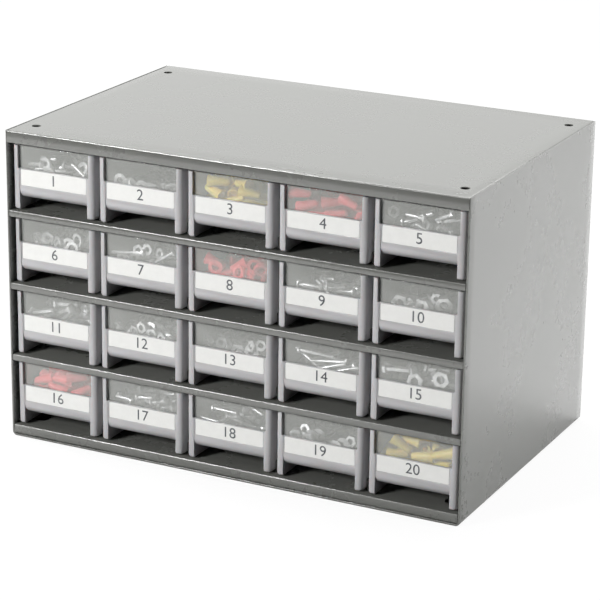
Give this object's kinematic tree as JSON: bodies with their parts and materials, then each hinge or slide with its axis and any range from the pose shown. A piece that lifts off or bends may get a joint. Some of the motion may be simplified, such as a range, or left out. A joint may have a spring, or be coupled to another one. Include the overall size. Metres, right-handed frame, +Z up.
{
  "type": "parts bin cabinet",
  "caption": "Low grey steel cabinet with rows of small pull-out plastic drawers, each with a clear window, a label card and a curled finger pull.",
  "frame": {"origin": "middle of the footprint, on the surface the cabinet stands on", "axes": "+X to the right seen from the front, +Y towards the back, +Z up; the drawers open towards -Y"},
  "size_m": [0.4318, 0.2794, 0.2794],
  "materials": {
    "grey_enamel": "smooth grey enamel, semi-gloss",
    "grey_plastic": "moulded light grey polystyrene",
    "clear_plastic": "clear styrene sheet; the paper label card shares this slot"
  },
  "bodies": {
    "cabinet": {"wrapper": "grey_enamel", "top_panel": "grey_enamel", "back_panel": "grey_enamel", "shelf_1": "grey_enamel", "shelf_2": "grey_enamel", "shelf_3": "grey_enamel", "floor_shelf": "grey_enamel", "guides_row_1": "grey_enamel", "guides_row_2": "grey_enamel", "guides_row_3": "grey_enamel", "guides_row_4": "grey_enamel"},
    "drawer_r1c1": {"tub_r1c1": "grey_plastic", "window_r1c1": "clear_plastic"},
    "drawer_r1c2": {"tub_r1c2": "grey_plastic", "window_r1c2": "clear_plastic"},
    "drawer_r1c3": {"tub_r1c3": "grey_plastic", "window_r1c3": "clear_plastic"},
    "drawer_r1c4": {"tub_r1c4": "grey_plastic", "window_r1c4": "clear_plastic"},
    "drawer_r1c5": {"tub_r1c5": "grey_plastic", "window_r1c5": "clear_plastic"},
    "drawer_r2c1": {"tub_r2c1": "grey_plastic", "window_r2c1": "clear_plastic"},
    "drawer_r2c2": {"tub_r2c2": "grey_plastic", "window_r2c2": "clear_plastic"},
    "drawer_r2c3": {"tub_r2c3": "grey_plastic", "window_r2c3": "clear_plastic"},
    "drawer_r2c4": {"tub_r2c4": "grey_plastic", "window_r2c4": "clear_plastic"},
    "drawer_r2c5": {"tub_r2c5": "grey_plastic", "window_r2c5": "clear_plastic"},
    "drawer_r3c1": {"tub_r3c1": "grey_plastic", "window_r3c1": "clear_plastic"},
    "drawer_r3c2": {"tub_r3c2": "grey_plastic", "window_r3c2": "clear_plastic"},
    "drawer_r3c3": {"tub_r3c3": "grey_plastic", "window_r3c3": "clear_plastic"},
    "drawer_r3c4": {"tub_r3c4": "grey_plastic", "window_r3c4": "clear_plastic"},
    "drawer_r3c5": {"tub_r3c5": "grey_plastic", "window_r3c5": "clear_plastic"},
    "drawer_r4c1": {"tub_r4c1": "grey_plastic", "window_r4c1": "clear_plastic"},
    "drawer_r4c2": {"tub_r4c2": "grey_plastic", "window_r4c2": "clear_plastic"},
    "drawer_r4c3": {"tub_r4c3": "grey_plastic", "window_r4c3": "clear_plastic"},
    "drawer_r4c4": {"tub_r4c4": "grey_plastic", "window_r4c4": "clear_plastic"},
    "drawer_r4c5": {"tub_r4c5": "grey_plastic", "window_r4c5": "clear_plastic"}
  },
  "joints": [
    {"name": "slide_r1c1", "type": "slide", "parent": "cabinet", "child": "drawer_r1c1", "axis": [0, -1, 0], "range_m": [0, 0.2365]},
    {"name": "slide_r1c2", "type": "slide", "parent": "cabinet", "child": "drawer_r1c2", "axis": [0, -1, 0], "range_m": [0, 0.2365]},
    {"name": "slide_r1c3", "type": "slide", "parent": "cabinet", "child": "drawer_r1c3", "axis": [0, -1, 0], "range_m": [0, 0.2365]},
    {"name": "slide_r1c4", "type": "slide", "parent": "cabinet", "child": "drawer_r1c4", "axis": [0, -1, 0], "range_m": [0, 0.2365]},
    {"name": "slide_r1c5", "type": "slide", "parent": "cabinet", "child": "drawer_r1c5", "axis": [0, -1, 0], "range_m": [0, 0.2365]},
    {"name": "slide_r2c1", "type": "slide", "parent": "cabinet", "child": "drawer_r2c1", "axis": [0, -1, 0], "range_m": [0, 0.2365]},
    {"name": "slide_r2c2", "type": "slide", "parent": "cabinet", "child": "drawer_r2c2", "axis": [0, -1, 0], "range_m": [0, 0.2365]},
    {"name": "slide_r2c3", "type": "slide", "parent": "cabinet", "child": "drawer_r2c3", "axis": [0, -1, 0], "range_m": [0, 0.2365]},
    {"name": "slide_r2c4", "type": "slide", "parent": "cabinet", "child": "drawer_r2c4", "axis": [0, -1, 0], "range_m": [0, 0.2365]},
    {"name": "slide_r2c5", "type": "slide", "parent": "cabinet", "child": "drawer_r2c5", "axis": [0, -1, 0], "range_m": [0, 0.2365]},
    {"name": "slide_r3c1", "type": "slide", "parent": "cabinet", "child": "drawer_r3c1", "axis": [0, -1, 0], "range_m": [0, 0.2365]},
    {"name": "slide_r3c2", "type": "slide", "parent": "cabinet", "child": "drawer_r3c2", "axis": [0, -1, 0], "range_m": [0, 0.2365]},
    {"name": "slide_r3c3", "type": "slide", "parent": "cabinet", "child": "drawer_r3c3", "axis": [0, -1, 0], "range_m": [0, 0.2365]},
    {"name": "slide_r3c4", "type": "slide", "parent": "cabinet", "child": "drawer_r3c4", "axis": [0, -1, 0], "range_m": [0, 0.2365]},
    {"name": "slide_r3c5", "type": "slide", "parent": "cabinet", "child": "drawer_r3c5", "axis": [0, -1, 0], "range_m": [0, 0.2365]},
    {"name": "slide_r4c1", "type": "slide", "parent": "cabinet", "child": "drawer_r4c1", "axis": [0, -1, 0], "range_m": [0, 0.2365]},
    {"name": "slide_r4c2", "type": "slide", "parent": "cabinet", "child": "drawer_r4c2", "axis": [0, -1, 0], "range_m": [0, 0.2365]},
    {"name": "slide_r4c3", "type": "slide", "parent": "cabinet", "child": "drawer_r4c3", "axis": [0, -1, 0], "range_m": [0, 0.2365]},
    {"name": "slide_r4c4", "type": "slide", "parent": "cabinet", "child": "drawer_r4c4", "axis": [0, -1, 0], "range_m": [0, 0.2365]},
    {"name": "slide_r4c5", "type": "slide", "parent": "cabinet", "child": "drawer_r4c5", "axis": [0, -1, 0], "range_m": [0, 0.2365]}
  ]
}
